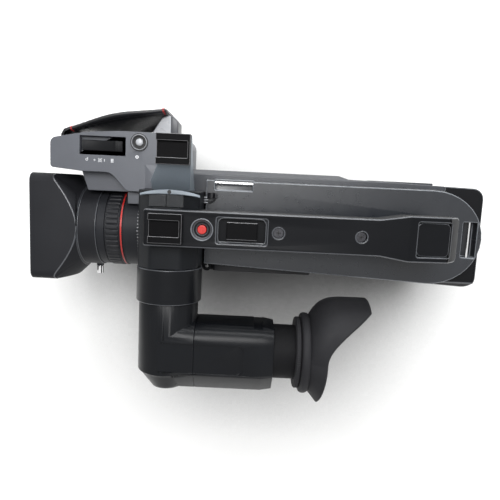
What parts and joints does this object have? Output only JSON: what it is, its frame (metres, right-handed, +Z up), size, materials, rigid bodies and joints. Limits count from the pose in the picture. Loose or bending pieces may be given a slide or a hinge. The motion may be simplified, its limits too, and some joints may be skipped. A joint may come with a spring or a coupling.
{
  "type": "shoulder camcorder",
  "caption": "Shoulder camcorder with a side viewfinder on a tilting elbow, a top handle with accessory shoe, a hand grip with strap, a lens hood and a fold-out screen.",
  "frame": {"origin": "centre of the tripod socket's mouth, on the underside of the base plate", "axes": "+X to the rear, the lens looks along -X, +Y to the hand grip's side, +Z up"},
  "size_m": [0.4252, 0.2576, 0.2297],
  "materials": {
    "casing_black": "fine grained black casing",
    "casing_grey": "satin grey casing",
    "deck_satin": "satin blue-grey deck",
    "handle_black": "satin near-black",
    "tower_grey": "satin blue-grey",
    "grip_grey": "satin mid grey with a fine grain",
    "arm_grey": "light blue-grey satin",
    "anchor_grey": "light grey gloss",
    "hood_matte": "charcoal, matte",
    "barrel_grey": "dark grey, satin",
    "lens_black": "black, ribbed",
    "red_paint": "red",
    "gloss_black": "glossy black",
    "rubber_black": "matte charcoal rubber",
    "strap_leather": "black leather with a soft sheen",
    "plain_black": "black",
    "bright_metal": "polished",
    "screw_black": "black zinc",
    "frame_metal": "die-cast",
    "lens_glass": "coated glass",
    "display_glass": "dark display",
    "board_green": "green board"
  },
  "bodies": {
    "camcorder": {"base_plate": "frame_metal", "base_screws": "bright_metal", "chassis": "frame_metal", "left_shell": "casing_black", "right_shell": "casing_grey", "rear_block": "casing_black", "front_bezel": "casing_grey", "top_deck": "deck_satin", "shoulder_pad": "rubber_black", "rear_feet": "rubber_black", "strap_bars": "bright_metal", "cable_clip": "plain_black", "handle_lower": "casing_black", "handle_upper": "handle_black", "handle_cover": "handle_black", "handle_screws": "screw_black", "handle_shoe": "gloss_black", "cross_tube": "tower_grey", "mic_grilles": "plain_black", "shoe_arm": "arm_grey", "side_shoe": "gloss_black", "evf_collar": "handle_black", "grip_shell": "grip_grey", "grip_step": "grip_grey", "strap_front_anchor": "plain_black", "strap_rear_anchor": "anchor_grey", "hand_strap": "strap_leather", "lens_tube": "lens_black", "lens_barrel": "barrel_grey", "red_ring": "red_paint", "filter_ring": "barrel_grey", "fixed_glass": "lens_glass", "guide_rods": "bright_metal", "sensor_unit": "board_green", "main_board": "board_green", "terminal_panel": "plain_black", "screen_hinge_pin": "bright_metal", "lens_hood": "hood_matte"},
    "focus_ring": {"focus_ring": "lens_black"},
    "hood_screw": {"hood_screw": "bright_metal"},
    "zoom_group": {"zoom_carrier": "lens_black", "zoom_glass": "lens_glass"},
    "focus_group": {"focus_carrier": "lens_black"},
    "viewfinder": {"evf_elbow": "handle_black", "evf_arm": "handle_black", "evf_display": "display_glass", "eye_tube": "lens_black"},
    "dioptre_ring": {"dioptre_ring": "rubber_black"},
    "ocular_cell": {"ocular_cell": "lens_glass"},
    "eyecup": {"eyecup": "rubber_black"},
    "screen": {"screen_panel": "plain_black", "screen_glass": "display_glass"},
    "battery": {"battery": "plain_black"},
    "battery_release": {"battery_release": "casing_black"},
    "terminal_door": {"terminal_door": "casing_grey"},
    "grip_rocker": {"grip_rocker": "plain_black"},
    "photo_button": {"photo_button": "bright_metal"},
    "mode_dial": {"mode_dial": "plain_black"},
    "handle_rocker": {"handle_rocker": "gloss_black"},
    "record_button": {"record_button": "red_paint"}
  },
  "joints": [
    {"name": "focus_turn", "type": "hinge", "parent": "camcorder", "child": "focus_ring", "pos_m": [-0.13, -0.0115, 0.105], "axis": [1, 0, 0], "continuous": true},
    {"name": "hood_screw_turn", "type": "hinge", "parent": "camcorder", "child": "hood_screw", "pos_m": [-0.1536, -0.055, 0.105], "axis": [0, 1, 0], "continuous": true},
    {"name": "zoom_slide", "type": "slide", "parent": "camcorder", "child": "zoom_group", "axis": [1, 0, 0], "range_m": [0, 0.016]},
    {"name": "focus_slide", "type": "slide", "parent": "camcorder", "child": "focus_group", "axis": [1, 0, 0], "range_m": [0, 0.006]},
    {"name": "viewfinder_tilt", "type": "hinge", "parent": "camcorder", "child": "viewfinder", "pos_m": [-0.069, -0.05, 0.182], "axis": [0, -1, 0], "range_deg": [0, 100]},
    {"name": "dioptre_turn", "type": "hinge", "parent": "viewfinder", "child": "dioptre_ring", "pos_m": [0.045, -0.1085, 0.182], "axis": [1, 0, 0], "range_deg": [-62.5, 62.5]},
    {"name": "ocular_slide", "type": "slide", "parent": "viewfinder", "child": "ocular_cell", "axis": [1, 0, 0], "range_m": [-0.003, 0.003]},
    {"name": "eyecup_turn", "type": "hinge", "parent": "viewfinder", "child": "eyecup", "pos_m": [0.045, -0.1085, 0.182], "axis": [1, 0, 0], "range_deg": [-90, 90]},
    {"name": "screen_open", "type": "hinge", "parent": "camcorder", "child": "screen", "pos_m": [-0.041, -0.0429, 0.1], "axis": [0, 0, -1], "range_deg": [0, 90]},
    {"name": "battery_slide", "type": "slide", "parent": "camcorder", "child": "battery", "axis": [1, 0, 0], "range_m": [0, 0.04]},
    {"name": "battery_release_press", "type": "slide", "parent": "camcorder", "child": "battery_release", "axis": [-1, 0, 0], "range_m": [0, 0.0015], "stiffness_N_per_m": 300},
    {"name": "terminal_door_open", "type": "hinge", "parent": "camcorder", "child": "terminal_door", "pos_m": [0.139, 0.0448, 0.05], "axis": [-1, 0, 0], "range_deg": [0, 95]},
    {"name": "grip_rocker_tip", "type": "hinge", "parent": "camcorder", "child": "grip_rocker", "pos_m": [-0.139, 0.0685, 0.1437], "axis": [0, 1, 0], "range_deg": [-5, 5], "stiffness_Nm_per_rad": 0.2},
    {"name": "photo_press", "type": "slide", "parent": "camcorder", "child": "photo_button", "axis": [0, 0, -1], "range_m": [0, 0.001], "stiffness_N_per_m": 300},
    {"name": "mode_dial_turn", "type": "hinge", "parent": "camcorder", "child": "mode_dial", "pos_m": [-0.062, 0.059, 0.133], "axis": [1, 0, 0], "range_deg": [0, 90]},
    {"name": "handle_rocker_tip", "type": "hinge", "parent": "camcorder", "child": "handle_rocker", "pos_m": [-0.007, 0, 0.2197], "axis": [0, 1, 0], "range_deg": [-5, 5], "stiffness_Nm_per_rad": 0.2},
    {"name": "record_press", "type": "slide", "parent": "camcorder", "child": "record_button", "axis": [0, 0, -1], "range_m": [0, 0.001], "stiffness_N_per_m": 300}
  ],
  "couplings": [
    {"joint": "dioptre_turn", "follows": "ocular_slide", "rad_per_m": 349.65}
  ]
}
